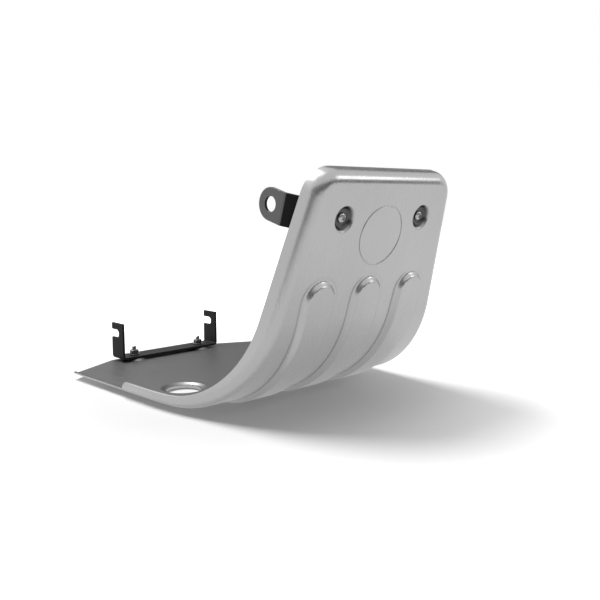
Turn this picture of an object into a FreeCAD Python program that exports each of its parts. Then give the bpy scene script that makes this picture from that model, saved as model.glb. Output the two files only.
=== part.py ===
"""Motorcycle skid plate: a pressed aluminium shell with its front and rear steel brackets.

Frame: +Z up, +Y to the rear of the motorcycle, X across.  Everything is drawn from the point of
the centre plane where the outer face of the floor meets the bend, and main() then moves it so
that the origin is the middle of the whole part's underside.  Millimetres and degrees.
"""
import FreeCAD, Part
import math
import os

V = FreeCAD.Vector

# pressed shell
SHEET = 3.0               # sheet thickness
FLOOR_LENGTH = 238.4      # bend start to the rear edge
HALF_WIDTH = 158.0        # half of the overall width, over the floor flanges
BEND_RADIUS = 141.0       # outer face of the big bend
PANEL_ANGLE = 73.3        # how far the bend turns; the panel leans forward by the rest
PANEL_LENGTH = 150.3      # straight part of the front panel
SIDE_RUN_Y = 0.173        # how fast the sides close in towards the front
SIDE_RUN_Z = 0.1065       # and towards the top
SIDE_BLEND = 400.0        # plan radius where the parallel sides start to close in
CORNER_RADIUS = 29.0      # top corners of the panel
FLANGE_BEND = 13.0        # outer radius of every flange
FLANGE_FLOOR = 14.5       # flange rim above the outer face of the floor
FLANGE_PANEL = 19.0       # flange rim behind the outer face of the panel
LOW_RIM = 5.5             # rim of the cut-back flange
STEP_START = 78.4         # where the flange starts to step down
STEP_END = 87.4
REAR_CHAMFER_X = 78.0     # half length of the straight rear edge
REAR_CHAMFER_Y = 39.0     # the corners are cut back by this much

# ribs
RIB_PITCH = 70.5
RIB_WIDTH = 40.0
RIB_HEIGHT = 4.5
RIB_TOP = 39.3            # upper end of a rib, up the panel from the bend
RIB_REAR = 24.0           # lower end of a rib, behind the start of the bend
RIB_SLOPE = 4.0           # how far in and down the walls of a rib slope from its crest

# marks and openings
BADGE_UP = 85.3           # centre of the blank badge place, up the panel
BADGE_RADIUS = 32.0
BADGE_GROOVE = 1.4        # width of the ring pressed round it
BADGE_DEPTH = 0.7
DRAIN_X = -97.0
DRAIN_Y = 50.4
DRAIN_MOUTH = 25.0
DRAIN_HOLE = 20.0
DRAIN_DRAW = 2.5

# M6 fasteners
THREAD = 6.0
CLEARANCE = 6.6
HEAD_RADIUS = 5.25
HEAD_HEIGHT = 3.3
SOCKET = 4.0              # across the flats of the hexagon socket
SOCKET_DEPTH = 1.9
NUT_FLATS = 10.0
NUT_HEIGHT = 5.2
WASHER_RADIUS = 7.1
WASHER = 1.4
FRONT_BOLT_LENGTH = 18.0
REAR_BOLT_LENGTH = 18.0

# seats of the bolts
FRONT_BOLT_X = 60.0
FRONT_BOLT_UP = 103.7
FRONT_SEAT_DEPTH = 5.0
FRONT_SEAT_RADIUS = 8.6
FRONT_MOUTH_RADIUS = 12.5
REAR_BOLT_X = 53.0
REAR_BOLT_EDGE = 14.0     # rear bolts in front of the rear edge
REAR_SEAT_DEPTH = 2.8
REAR_SEAT_RADIUS = 10.5
REAR_MOUTH_RADIUS = 15.0

# front bracket
BRACKET = 3.0             # steel strip of both brackets
BAR_HEIGHT = 32.0
EAR_INSET = 46.0          # outer face of each ear, inside the half width of the shell
EAR_FOLD = 33.3           # where the ear starts, behind the outer face of the panel
EAR_JOIN = 5.0            # the bar ends this far inside its fold, where the ear plates are welded on
EAR_HOLE_BACK = 50.6      # ear hole behind the outer face of the panel
EAR_HOLE_RADIUS = 7.5

# rear bracket
UPRIGHT_FACE = 78.0       # outer face of each upright
UPRIGHT_TOP = 54.5
STRIP_WIDTH = 27.0
STRIP_BEND = 5.0          # outer radius of its folds
HOOK_HEIGHT = 40.5
HOOK_WIDTH = 10.5
HOOK_DEPTH = 17.0         # depth of a hook slot from the rear edge

REAR_BOLT_Y = FLOOR_LENGTH - REAR_BOLT_EDGE
EAR_FACE = HALF_WIDTH - EAR_INSET
ANGLE = math.radians(PANEL_ANGLE)
UP = V(0, -math.cos(ANGLE), math.sin(ANGLE))
BACK = V(0, math.sin(ANGLE), math.cos(ANGLE))
PANEL_FOOT = V(0, -BEND_RADIUS * math.sin(ANGLE), BEND_RADIUS * (1 - math.cos(ANGLE)))
RIM_RADIUS = BEND_RADIUS - FLANGE_PANEL
PANEL_FRAME = FreeCAD.Placement(PANEL_FOOT, FreeCAD.Rotation(V(1, 0, 0), 180 - PANEL_ANGLE))
FLOOR_FRAME = FreeCAD.Placement(V(0, 0, 0), FreeCAD.Rotation(V(1, 0, 0), 180))
# both frames have their z pointing out of the shell; y runs up the panel, or forward on the floor

FRONT_BACK_FACE = FRONT_SEAT_DEPTH + SHEET     # inner face of the sheet at a front seat
REAR_BACK_FACE = REAR_SEAT_DEPTH + SHEET
NODES = {}


def placed(shape, frame):
    """The shape, built in a local frame, moved to where that frame sits."""
    shape = shape.copy()
    shape.Placement = frame.multiply(shape.Placement)
    return shape


def on_panel(up, back, x=0.0):
    """Point on the panel: up from the bend, back from the outer face."""
    return PANEL_FOOT + UP * up + BACK * back + V(x, 0, 0)


def face_of(edges):
    return Part.Face(Part.Wire(edges))


def line(a, b):
    return Part.makeLine(a, b)


def arc(a, b, c):
    return Part.Arc(a, b, c).toShape()


def bend_point(radius, angle, centre_y=0.0, centre_z=BEND_RADIUS):
    """Point of a bend arc, angle from its lowest point towards the front."""
    return V(0, centre_y - radius * math.sin(angle), centre_z - radius * math.cos(angle))


def side_profile(inset):
    """Closed side view of the shell body.

    With no inset it ends at the flange rim; the inset body runs past the rim and the rear edge,
    so that taking it away leaves the sheet.
    """
    radius = BEND_RADIUS - inset
    rear = FLOOR_LENGTH if inset == 0 else FLOOR_LENGTH + 30
    top = PANEL_LENGTH - inset
    a = V(0, rear, inset)
    b = V(0, 0, inset)
    c = bend_point(radius, ANGLE / 2)
    d = on_panel(0, inset)
    e = on_panel(top, inset)
    edges = [line(a, b), arc(b, c, d), line(d, e)]
    if inset == 0:
        # the rim arc is tangent to the rim of the floor flange and to that of the panel flange
        drop = (FLANGE_FLOOR - FLANGE_PANEL) / math.sin(ANGLE)
        shift = UP * drop
        centre = V(0, shift.y, BEND_RADIUS + shift.z)
        f = on_panel(top, FLANGE_PANEL)
        g = bend_point(RIM_RADIUS, ANGLE, centre.y, centre.z)
        h = bend_point(RIM_RADIUS, ANGLE / 2, centre.y, centre.z)
        i = bend_point(RIM_RADIUS, 0, centre.y, centre.z)
        j = V(0, STEP_START, FLANGE_FLOOR)
        k = V(0, STEP_END, LOW_RIM)
        m = V(0, rear, LOW_RIM)
        edges += [line(e, f), line(f, g), arc(g, h, i), line(i, j), line(j, k), line(k, m), line(m, a)]
    else:
        depth = 3 * FLANGE_PANEL
        f = on_panel(top, depth)
        g = V(0, rear, BEND_RADIUS)
        edges += [line(e, f), line(f, g), line(g, a)]
    return face_of(edges)


def plan_outline(inset):
    """Plan of the closed sides, cut later along the direction in which they keep their width."""
    half = HALF_WIDTH - inset
    far = -1.5 * (BEND_RADIUS + PANEL_LENGTH)
    turn = math.atan(SIDE_RUN_Y)
    reach = SIDE_BLEND * math.tan(turn / 2)
    rear = FLOOR_LENGTH + 200
    start = V(half, reach, 0)
    end = V(half - reach * math.sin(turn), -reach * math.cos(turn), 0)
    mid = V(half - SIDE_BLEND * (1 - math.cos(turn / 2)), reach - SIDE_BLEND * math.sin(turn / 2), 0)
    front = V(half + far * SIDE_RUN_Y, far, 0)

    def flip(p):
        return V(-p.x, p.y, p.z)

    return face_of([line(V(half, rear, 0), start), arc(start, mid, end), line(end, front),
                    line(front, flip(front)), line(flip(front), flip(end)),
                    arc(flip(end), flip(mid), flip(start)), line(flip(start), V(-half, rear, 0)),
                    line(V(-half, rear, 0), V(half, rear, 0))])


def body(inset):
    """The shell filled up to its flange rim, every face moved in by the inset."""
    wide = 2 * HALF_WIDTH + 40
    block = side_profile(inset).extrude(V(wide, 0, 0))
    block.translate(V(-wide / 2, 0, 0))
    lean = SIDE_RUN_Z / SIDE_RUN_Y
    tall = BEND_RADIUS + PANEL_LENGTH + 100
    sides = plan_outline(inset).extrude(V(0, lean * tall, tall))
    sides.translate(V(0, -lean * 20, -20))
    block = block.common(sides)
    corners = [e for e in block.Edges if is_top_corner(e, inset)]
    block = block.makeFillet(CORNER_RADIUS - inset, corners)
    outer = [e for e in block.Edges if is_outer_rim(e, inset)]
    return block.makeFillet(FLANGE_BEND - inset, outer)


def height_in(point):
    """How far a point lies behind the outer face of floor, bend or panel, and where along it."""
    rel = point - PANEL_FOOT
    up = rel.dot(UP)
    if up > 0:
        return rel.dot(BACK), up
    if point.y >= 0:
        return point.z, None
    return BEND_RADIUS - math.hypot(point.y, point.z - BEND_RADIUS), None


def samples(edge, count=5):
    a, b = edge.ParameterRange
    return [edge.valueAt(a + (b - a) * i / (count - 1)) for i in range(count)]


def is_top_corner(edge, inset):
    for p in samples(edge):
        depth, up = height_in(p)
        if up is None or abs(up - (PANEL_LENGTH - inset)) > 0.05 or abs(p.x) < HALF_WIDTH / 3:
            return False
    return abs(samples(edge)[0].x - samples(edge)[-1].x) < 20


def is_outer_rim(edge, inset):
    points = samples(edge)
    if any(abs(height_in(p)[0] - inset) > 0.05 for p in points):
        return False
    if all(p.y > FLOOR_LENGTH - 0.05 for p in points):
        return False
    mid = points[2]
    _, up = height_in(mid)
    across = max(abs(p.x) for p in points) - min(abs(p.x) for p in points)
    on_top = up is not None and up > PANEL_LENGTH - CORNER_RADIUS - 5
    return on_top or (abs(mid.x) > HALF_WIDTH / 3 and across < HALF_WIDTH / 2)


def stadium(x, low, high, half, bottom, top):
    """Upright slab with one round end, at y high."""
    pts = [V(x + half, low, bottom), V(x + half, high - half, bottom), V(x, high, bottom),
           V(x - half, high - half, bottom), V(x - half, low, bottom)]
    face = face_of([line(pts[0], pts[1]), arc(pts[1], pts[2], pts[3]), line(pts[3], pts[4]),
                    line(pts[4], pts[0])])
    return face.extrude(V(0, 0, top - bottom))


def rib(x, inset):
    """One rib standing out of the outer face, from the floor round the bend and up the panel."""
    half = RIB_WIDTH / 2 - inset
    crest = RIB_HEIGHT - inset
    root = -inset - 1.5
    upper = placed(stadium(x, 0, RIB_TOP - inset, half, root, crest), PANEL_FRAME)
    lower = stadium(x, 0, RIB_REAR - inset, half, root, crest)
    flip = FreeCAD.Placement(V(0, 0, 0), FreeCAD.Rotation(V(0, 1, 0), 180))
    lower = placed(lower, flip)
    lower.translate(V(2 * x, 0, 0))
    inner = BEND_RADIUS + root
    outer = BEND_RADIUS + crest
    c = bend_point(inner, 0)
    d = bend_point(outer, 0)
    e = bend_point(outer, ANGLE)
    f = bend_point(inner, ANGLE)
    ring = face_of([line(c, d), arc(d, bend_point(outer, ANGLE / 2), e), line(e, f),
                    arc(f, bend_point(inner, ANGLE / 2), c)])
    ring = ring.extrude(V(2 * half, 0, 0))
    ring.translate(V(x - half, 0, 0))
    whole = upper.fuse([ring, lower]).removeSplitter()
    edges = [e for e in whole.Edges
             if all(abs(height_in(p)[0] + crest) < 0.05 for p in samples(e))]
    return whole.makeChamfer(RIB_SLOPE, edges)


def with_ribs(shape, inset):
    for k in (-1, 0, 1):
        shape = shape.fuse(rib(k * RIB_PITCH, inset))
    return shape.removeSplitter()


def cone(radius_low, radius_high, low, high):
    return Part.makeCone(radius_low, radius_high, high - low, V(0, 0, low), V(0, 0, 1))


def at(shape, x, y):
    shape = shape.copy()
    shape.translate(V(x, y, 0))
    return shape


def front_spots(shape):
    return [placed(at(shape, x, FRONT_BOLT_UP), PANEL_FRAME) for x in (-FRONT_BOLT_X, FRONT_BOLT_X)]


def rear_spots(shape):
    return [placed(at(shape, x, -REAR_BOLT_Y), FLOOR_FRAME) for x in (-REAR_BOLT_X, REAR_BOLT_X)]


def skid_plate():
    """Outer body less inner body; each pressed feature is put on both, a sheet apart."""
    outer = with_ribs(body(0.0), 0.0)
    inner = with_ribs(body(SHEET), SHEET)
    grow = SHEET * 0.8
    seats = ((front_spots, FRONT_SEAT_DEPTH, FRONT_SEAT_RADIUS, FRONT_MOUTH_RADIUS),
             (rear_spots, REAR_SEAT_DEPTH, REAR_SEAT_RADIUS, REAR_MOUTH_RADIUS))
    for spots, depth, seat, mouth in seats:
        slope = (mouth - seat) / depth
        recess = cone(seat, mouth + slope * 2, -depth, 2.0)
        bump = cone(seat + grow, mouth + grow + slope * 2, -depth - SHEET, 2.0 - SHEET)
        outer = outer.fuse(spots(bump)).cut(spots(recess))
        inner = inner.cut(spots(bump))
    slope = (DRAIN_MOUTH - DRAIN_HOLE) / (2 * DRAIN_DRAW)
    dish = cone(DRAIN_MOUTH + slope, DRAIN_MOUTH - DRAIN_DRAW * slope, -1.0, DRAIN_DRAW)
    drain = (DRAIN_X, -DRAIN_Y)
    outer = outer.fuse(placed(at(dish, *drain), FLOOR_FRAME))
    pan = dish.copy()
    pan.translate(V(0, 0, -SHEET))
    inner = inner.fuse(placed(at(pan, *drain), FLOOR_FRAME))
    shell = outer.cut(inner)
    hole = Part.makeCylinder(DRAIN_HOLE, 40, V(DRAIN_X, DRAIN_Y, -20))
    bores = front_spots(Part.makeCylinder(CLEARANCE / 2, 40, V(0, 0, -20)))
    bores += rear_spots(Part.makeCylinder(CLEARANCE / 2, 40, V(0, 0, -20)))
    ring = Part.makeCylinder(BADGE_RADIUS, BADGE_DEPTH + 2, V(0, BADGE_UP, -BADGE_DEPTH))
    ring = ring.cut(Part.makeCylinder(BADGE_RADIUS - BADGE_GROOVE, 10, V(0, BADGE_UP, -5)))
    shell = shell.cut([hole, placed(ring, PANEL_FRAME)] + bores)
    shell = shell.cut(Part.makeBox(4 * HALF_WIDTH, 100, 100, V(-2 * HALF_WIDTH, FLOOR_LENGTH, -50)))
    for side in (-1, 1):
        tip = [V(side * REAR_CHAMFER_X, FLOOR_LENGTH, -20),
               V(side * (HALF_WIDTH + 20), FLOOR_LENGTH - REAR_CHAMFER_Y * (HALF_WIDTH + 20 - REAR_CHAMFER_X)
                 / (HALF_WIDTH - REAR_CHAMFER_X), -20),
               V(side * (HALF_WIDTH + 20), FLOOR_LENGTH + 20, -20),
               V(side * REAR_CHAMFER_X, FLOOR_LENGTH + 20, -20)]
        shell = shell.cut(Part.Face(Part.makePolygon(tip + [tip[0]])).extrude(V(0, 0, 60)))
    return shell.removeSplitter()


def folded(points, thickness, toward, width, radius):
    """Flat strip folded along the points (its outer face), thickened toward the given side."""
    count = len(points)
    inner = []
    for i in range(count):
        dirs = []
        if i > 0:
            dirs.append((points[i] - points[i - 1]).normalize())
        if i < count - 1:
            dirs.append((points[i + 1] - points[i]).normalize())
        normals = [width.cross(d).normalize() * toward for d in dirs]
        if len(normals) == 1:
            inner.append(points[i] + normals[0] * thickness)
        else:
            total = normals[0] + normals[1]
            inner.append(points[i] + total * (2 * thickness / total.dot(total)))
    loop = points + inner[::-1]
    solid = Part.Face(Part.makePolygon(loop + [loop[0]])).extrude(width)
    solid.translate(width * -0.5)
    for i in range(1, count - 1):
        for base, rad in ((points[i], radius), (inner[i], max(radius - thickness, 0.5))):
            edge = [e for e in solid.Edges
                    if e.Length > width.Length * 0.9
                    and abs((e.CenterOfMass - base).dot(width)) < 0.01 * width.Length
                    and (e.CenterOfMass - base).Length < 0.2]
            solid = solid.makeFillet(rad, edge)
    return solid


def front_bracket():
    """Bar behind the panel, with a folded plate welded to each end: a wing set back and an ear.

    Built in the panel frame: x across, y up the panel, z out of the shell.
    """
    bar_back = FRONT_BACK_FACE + BRACKET
    run = EAR_FOLD - bar_back
    half = EAR_FACE - run
    tip = EAR_HOLE_BACK + BAR_HEIGHT / 2
    points = [V(-EAR_FACE, 0, -tip), V(-EAR_FACE, 0, -EAR_FOLD), V(-half, 0, -FRONT_BACK_FACE),
              V(half, 0, -FRONT_BACK_FACE), V(EAR_FACE, 0, -EAR_FOLD), V(EAR_FACE, 0, -tip)]
    solid = folded(points, BRACKET, 1, V(0, BAR_HEIGHT, 0), 5.0)
    solid.translate(V(0, FRONT_BOLT_UP, 0))
    wide = 2 * EAR_FACE + 20
    keep = Part.makeBox(wide, BAR_HEIGHT, EAR_HOLE_BACK, V(-wide / 2, FRONT_BOLT_UP - BAR_HEIGHT / 2,
                                                           -EAR_HOLE_BACK))
    round_end = Part.makeCylinder(BAR_HEIGHT / 2, wide, V(-wide / 2, FRONT_BOLT_UP, -EAR_HOLE_BACK),
                                  V(1, 0, 0))
    solid = solid.common(keep.fuse(round_end))
    solid = solid.cut(Part.makeCylinder(EAR_HOLE_RADIUS, wide,
                                        V(-wide / 2, FRONT_BOLT_UP, -EAR_HOLE_BACK), V(1, 0, 0)))
    for x in (-FRONT_BOLT_X, FRONT_BOLT_X):
        solid = solid.cut(Part.makeCylinder(CLEARANCE / 2, 60, V(x, FRONT_BOLT_UP, -50)))
    end = half - EAR_JOIN
    middle = Part.makeBox(2 * end, 4 * BAR_HEIGHT, 4 * tip,
                          V(-end, FRONT_BOLT_UP - 2 * BAR_HEIGHT, -2 * tip))
    bar = solid.common(middle).removeSplitter()
    plates = sorted(solid.cut(middle).Solids, key=lambda plate: plate.CenterOfMass.x)
    return [placed(piece, PANEL_FRAME) for piece in [bar] + plates]


def rear_bracket():
    """Strip across the floor with an upright at each end and a hook slot open to the rear."""
    low = REAR_BACK_FACE
    points = [V(-UPRIGHT_FACE, REAR_BOLT_Y, UPRIGHT_TOP), V(-UPRIGHT_FACE, REAR_BOLT_Y, low),
              V(UPRIGHT_FACE, REAR_BOLT_Y, low), V(UPRIGHT_FACE, REAR_BOLT_Y, UPRIGHT_TOP)]
    solid = folded(points, BRACKET, -1, V(0, STRIP_WIDTH, 0), STRIP_BEND)
    rear = REAR_BOLT_Y + STRIP_WIDTH / 2
    wide = 2 * UPRIGHT_FACE + 20
    half = HOOK_WIDTH / 2
    slot = Part.makeBox(wide, HOOK_DEPTH, HOOK_WIDTH,
                        V(-wide / 2, rear - HOOK_DEPTH + half, HOOK_HEIGHT - half))
    end = Part.makeCylinder(half, wide, V(-wide / 2, rear - HOOK_DEPTH + half, HOOK_HEIGHT), V(1, 0, 0))
    solid = solid.cut([slot, end])
    for x in (-REAR_BOLT_X, REAR_BOLT_X):
        solid = solid.cut(Part.makeCylinder(CLEARANCE / 2, 60, V(x, REAR_BOLT_Y, -20)))
    return solid.removeSplitter()


def hexagon(flats, low, high):
    radius = flats / math.sqrt(3)
    pts = [V(radius * math.cos(math.radians(60 * i + 30)), radius * math.sin(math.radians(60 * i + 30)), low)
           for i in range(6)]
    return Part.Face(Part.makePolygon(pts + [pts[0]])).extrude(V(0, 0, high - low))


def bolt(length):
    """Button head bolt: the head seats on z = 0 and rises, the shank runs down."""
    rim = HEAD_HEIGHT * 0.3
    head = Part.makeCylinder(HEAD_RADIUS, rim)
    head = head.fuse(cone(HEAD_RADIUS, SOCKET * 0.8, rim, HEAD_HEIGHT))
    shank = Part.makeCylinder(THREAD / 2, length, V(0, 0, -length))
    whole = head.fuse(shank).cut(hexagon(SOCKET, HEAD_HEIGHT - SOCKET_DEPTH, HEAD_HEIGHT + 1))
    return whole.removeSplitter()


def washer(face):
    """Washer lying against the face at z = -face, on the inner side."""
    ring = Part.makeCylinder(WASHER_RADIUS, WASHER, V(0, 0, -face - WASHER))
    return ring.cut(Part.makeCylinder(CLEARANCE / 2, 30, V(0, 0, -face - 15)))


def nut(face):
    """Hexagon nut under z = -face."""
    shape = hexagon(NUT_FLATS, -face - NUT_HEIGHT, -face)
    return shape.cut(Part.makeCylinder(THREAD / 2, 30, V(0, 0, -face - 15)))


def add(name, shape):
    NODES[name] = shape


def fasteners():
    groups = (("front", front_spots, FRONT_SEAT_DEPTH, FRONT_BACK_FACE + BRACKET, FRONT_BOLT_LENGTH),
              ("rear", rear_spots, REAR_SEAT_DEPTH, REAR_BACK_FACE + BRACKET, REAR_BOLT_LENGTH))
    for end, spots, seat, stack, length in groups:
        pin = bolt(length)
        pin.translate(V(0, 0, -seat))
        for name, shape in (("bolt", pin), ("washer", washer(stack)), ("nut", nut(stack + WASHER))):
            for side, solid in zip(("left", "right"), spots(shape)):
                add("%s_%s_%s" % (end, name, side), solid)


def main():
    os.makedirs("parts", exist_ok=True)
    add("skid_plate", skid_plate())
    for name, piece in zip(("bar", "ear_plate_left", "ear_plate_right"), front_bracket()):
        add("front_" + name, piece)
    add("rear_bracket", rear_bracket())
    fasteners()
    box = Part.makeCompound(list(NODES.values())).optimalBoundingBox()
    home = V(-(box.XMin + box.XMax) / 2, -(box.YMin + box.YMax) / 2, -box.ZMin)
    print("moved by %.4f %.4f %.4f" % (home.x, home.y, home.z))
    for name, shape in NODES.items():
        solids = shape.Solids
        if len(solids) != 1 or not shape.isValid():
            raise RuntimeError("%s has %d solids, valid %s" % (name, len(solids), shape.isValid()))
        solid = solids[0].copy()
        solid.translate(home)
        solid.exportStep("parts/%s.step" % name)
        print("%-20s %8.2f cm3" % (name, solid.Volume / 1000))


main()
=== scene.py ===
"""Finish, fasteners and studio for the motorcycle skid plate, laid out as a Blender add-on."""

import math

import bmesh
import bpy
from bpy.props import FloatProperty, FloatVectorProperty, IntProperty, PointerProperty
from mathutils import Matrix, Vector


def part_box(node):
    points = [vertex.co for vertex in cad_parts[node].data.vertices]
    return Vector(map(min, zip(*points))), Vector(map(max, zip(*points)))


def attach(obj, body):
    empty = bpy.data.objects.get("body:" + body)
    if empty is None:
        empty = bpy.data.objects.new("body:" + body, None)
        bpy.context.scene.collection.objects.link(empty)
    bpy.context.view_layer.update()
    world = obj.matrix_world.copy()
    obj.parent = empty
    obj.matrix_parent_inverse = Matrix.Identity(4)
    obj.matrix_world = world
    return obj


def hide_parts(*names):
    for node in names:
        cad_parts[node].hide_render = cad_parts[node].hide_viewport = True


bl_info = {
    "name": "Skid plate",
    "version": (1, 0, 0),
    "blender": (4, 5, 0),
    "location": "View3D > Sidebar > Skid plate",
    "description": "Dresses the packed skid plate and lights it",
    "category": "Object",
}

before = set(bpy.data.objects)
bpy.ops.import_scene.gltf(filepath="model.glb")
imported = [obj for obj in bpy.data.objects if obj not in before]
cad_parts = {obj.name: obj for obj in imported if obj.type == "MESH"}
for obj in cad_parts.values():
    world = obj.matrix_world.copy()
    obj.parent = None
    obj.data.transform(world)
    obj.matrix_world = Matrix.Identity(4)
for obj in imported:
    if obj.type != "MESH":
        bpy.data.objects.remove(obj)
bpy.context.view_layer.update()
MM = 0.001
SEATS = ("front_{}_left", "front_{}_right", "rear_{}_left", "rear_{}_right")

# Inner and outer radius of the slope round a feature, and how far its middle sinks inwards.
FRONT_SEAT = (8.4 * MM, 14.0 * MM, 5.0 * MM)
REAR_SEAT = (10.1 * MM, 15.6 * MM, 2.8 * MM)
DRAIN_DISH = (21.0 * MM, 26.4 * MM, -2.5 * MM)
SEAT_GROWTH = 2.2 * MM      # the inner face of a seat is wider by this
ROUND_RIB = 7 * MM          # the pressing of a rib reaches this far past its foot
SHOULDER_OUT = 2.0 * MM     # a rib starts to rise this far outside its foot
SHOULDER = 6.0 * MM         # width of the rounded side of a rib
DIP = 3.2 * MM              # half width of the dip round a rib, and its distance from the foot
ROUND_SEAT = 18 * MM        # rows of cuts reach this far from the middle of a bolt seat


class PressedShape(bpy.types.PropertyGroup):
    """Where the pressed features of the shell lie, and how soft their edges are."""
    bend: FloatProperty(name="Bend", description="Radius of the outer face of the big bend",
                        subtype="DISTANCE", default=141.0 * MM)
    turn: FloatProperty(name="Turn", description="Angle of the big bend", subtype="ANGLE",
                        default=math.radians(73.3))
    floor: FloatProperty(name="Floor length", description="From the bend to the rear edge",
                         subtype="DISTANCE", default=238.4 * MM)
    sheet: FloatProperty(name="Sheet", description="Thickness of the sheet", subtype="DISTANCE",
                         default=3.0 * MM)
    rib_height: FloatProperty(name="Rib height", description="How far a rib stands out",
                              subtype="DISTANCE", default=4.5 * MM)
    rib_width: FloatProperty(name="Rib width", description="Width over the foot of a rib",
                             subtype="DISTANCE", default=40.0 * MM)
    rib_pitch: FloatProperty(name="Rib pitch", description="From rib to rib", subtype="DISTANCE",
                             default=70.5 * MM)
    rib_top: FloatProperty(name="Rib top", description="Upper end of a rib above the bend",
                           subtype="DISTANCE", default=39.3 * MM)
    rib_rear: FloatProperty(name="Rib end", description="Lower end of a rib behind the bend",
                            subtype="DISTANCE", default=24.0 * MM)
    draw: FloatProperty(name="Draw", description="How far the sheet dips round the foot of a rib",
                        subtype="DISTANCE", default=0.3 * MM)
    front_bolts: FloatVectorProperty(name="Front bolts", description="Across, up the panel",
                                     subtype="XYZ_LENGTH", size=2, default=(60 * MM, 103.7 * MM))
    rear_bolts: FloatVectorProperty(name="Rear bolts", description="Across, behind the bend",
                                    subtype="XYZ_LENGTH", size=2, default=(53 * MM, 224.4 * MM))
    drain: FloatVectorProperty(name="Drain", description="Across, behind the bend",
                               subtype="XYZ_LENGTH", size=2, default=(-97 * MM, 50.4 * MM))
    grid: FloatProperty(name="Grid", description="Mesh spacing on the pressed features",
                        subtype="DISTANCE", min=0.5 * MM, default=1.45 * MM)


class ShellFinish(bpy.types.PropertyGroup):
    """Satin aluminium of the pressed shell."""
    outside: FloatVectorProperty(name="Outside", description="Colour of the outer face", subtype="COLOR",
                                 size=3, min=0, max=1, default=(0.45, 0.45, 0.45))
    # The inner face is rougher than the outer one, and its darker colour is painted shade.
    inside: FloatVectorProperty(name="Inside", description="Colour of the duller inner face",
                                subtype="COLOR", size=3, min=0, max=1, default=(0.22, 0.22, 0.22))
    roughness: FloatProperty(name="Roughness", description="Mean roughness of the satin finish",
                             min=0, max=1, default=0.30)
    grain: FloatProperty(name="Grain", description="Depth of the brushed grain", min=0, max=1,
                         default=0.035)
    # Painted shade: how strongly the colour is darkened in the recesses round the bolts.
    painted_recess_shade: FloatProperty(name="Painted_shade", description="Darkening in the recesses round the bolts", min=0,
                         max=1, default=0.85)
    edge: FloatProperty(name="Edge rounding", description="Rounding of the cut edges", subtype="DISTANCE",
                        min=0, default=0.5 * MM)


class SteelFinish(bpy.types.PropertyGroup):
    """Black coated steel and the plated fasteners."""
    # Painted light: the satin faces of the front bracket are coloured lighter than the black coating.
    satin: FloatVectorProperty(name="Satin coating", description="Colour of the front bracket's satin faces",
                               subtype="COLOR", size=3, min=0, max=1, default=(0.0675, 0.0675, 0.072))
    coat: FloatVectorProperty(name="Coating", description="Colour of the black coating", subtype="COLOR",
                              size=3, min=0, max=1, default=(0.015, 0.015, 0.016))
    plated: FloatVectorProperty(name="Plating", description="Colour of the bolts", subtype="COLOR",
                                size=3, min=0, max=1, default=(0.42, 0.42, 0.42))
    dark: FloatVectorProperty(name="Dark steel", description="Colour of nuts and washers", subtype="COLOR",
                              size=3, min=0, max=1, default=(0.06, 0.06, 0.06))
    edge: FloatProperty(name="Edge rounding", description="Rounding of the strip's edges",
                        subtype="DISTANCE", min=0, default=0.35 * MM)


class FastenerSizes(bpy.types.PropertyGroup):
    """M6 button head bolts, nuts and washers."""
    thread: FloatProperty(name="Thread", description="Outer radius of the thread", subtype="DISTANCE",
                          default=3.0 * MM)
    core: FloatProperty(name="Core", description="Radius at the root of the thread", subtype="DISTANCE",
                        default=2.5 * MM)
    pitch: FloatProperty(name="Pitch", description="Pitch of the thread", subtype="DISTANCE",
                         default=1.0 * MM)
    length: FloatProperty(name="Length", description="Length under the head", subtype="DISTANCE",
                          default=18.0 * MM)
    head: FloatProperty(name="Head radius", description="Radius of the button head", subtype="DISTANCE",
                        default=5.25 * MM)
    head_height: FloatProperty(name="Head height", description="Height of the button head",
                               subtype="DISTANCE", default=3.3 * MM)
    socket: FloatProperty(name="Socket", description="Hexagon socket across its flats",
                          subtype="DISTANCE", default=4.0 * MM)
    nut: FloatProperty(name="Nut", description="Nut across its flats", subtype="DISTANCE",
                       default=10.0 * MM)
    nut_height: FloatProperty(name="Nut height", description="Height of the nut", subtype="DISTANCE",
                              default=5.2 * MM)
    washer: FloatProperty(name="Washer radius", description="Outer radius of the washer",
                          subtype="DISTANCE", default=7.1 * MM)
    washer_thick: FloatProperty(name="Washer thickness", description="Thickness of the washer",
                                subtype="DISTANCE", default=1.4 * MM)
    segments: IntProperty(name="Segments", description="Facets round each fastener", min=12, default=48)


class StudioSettings(bpy.types.PropertyGroup):
    """Camera, lamps and floor."""
    focal: FloatProperty(name="Focal length", description="Lens for a 36 mm sensor", default=45.376)
    turn: FloatProperty(name="Turn", description="Heading of the camera", subtype="ANGLE",
                        default=math.radians(-44.4))
    dip: FloatProperty(name="Dip", description="How far the camera looks down", subtype="ANGLE",
                       default=math.radians(7.88))
    key: FloatProperty(name="Key lamp", description="Power of the lamp above and behind",
                       subtype="POWER", default=34.0)
    side: FloatProperty(name="Side lamp", description="Power of the soft box at the front right",
                        subtype="POWER", default=1.6)
    top: FloatProperty(name="Top lamp", description="Power of the overhead lamp", subtype="POWER",
                       default=1.0)
    card: FloatProperty(name="Dark card", description="Shade of the card behind the camera", min=0, max=1,
                        default=0.30)
    mirrored: FloatProperty(name="Mirrored floor", description="How white the floor is in reflections",
                            min=0, max=1, default=0.85)
    shaded: FloatProperty(name="Shaded floor", description="Share of that white close to the part", min=0,
                          max=1, default=0.62)
    sky: FloatProperty(name="Sky", description="Strength of the surroundings", default=0.17)
    lift: FloatProperty(name="Floor lift", description="Brightness added to the floor as it is seen",
                        default=0.06)
    clear_from: FloatProperty(name="Floor fade start", description="Where the floor starts to turn white",
                              subtype="DISTANCE", default=0.10)
    clear_to: FloatProperty(name="Floor fade end", description="Where the floor is white",
                            subtype="DISTANCE", default=0.60)


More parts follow.
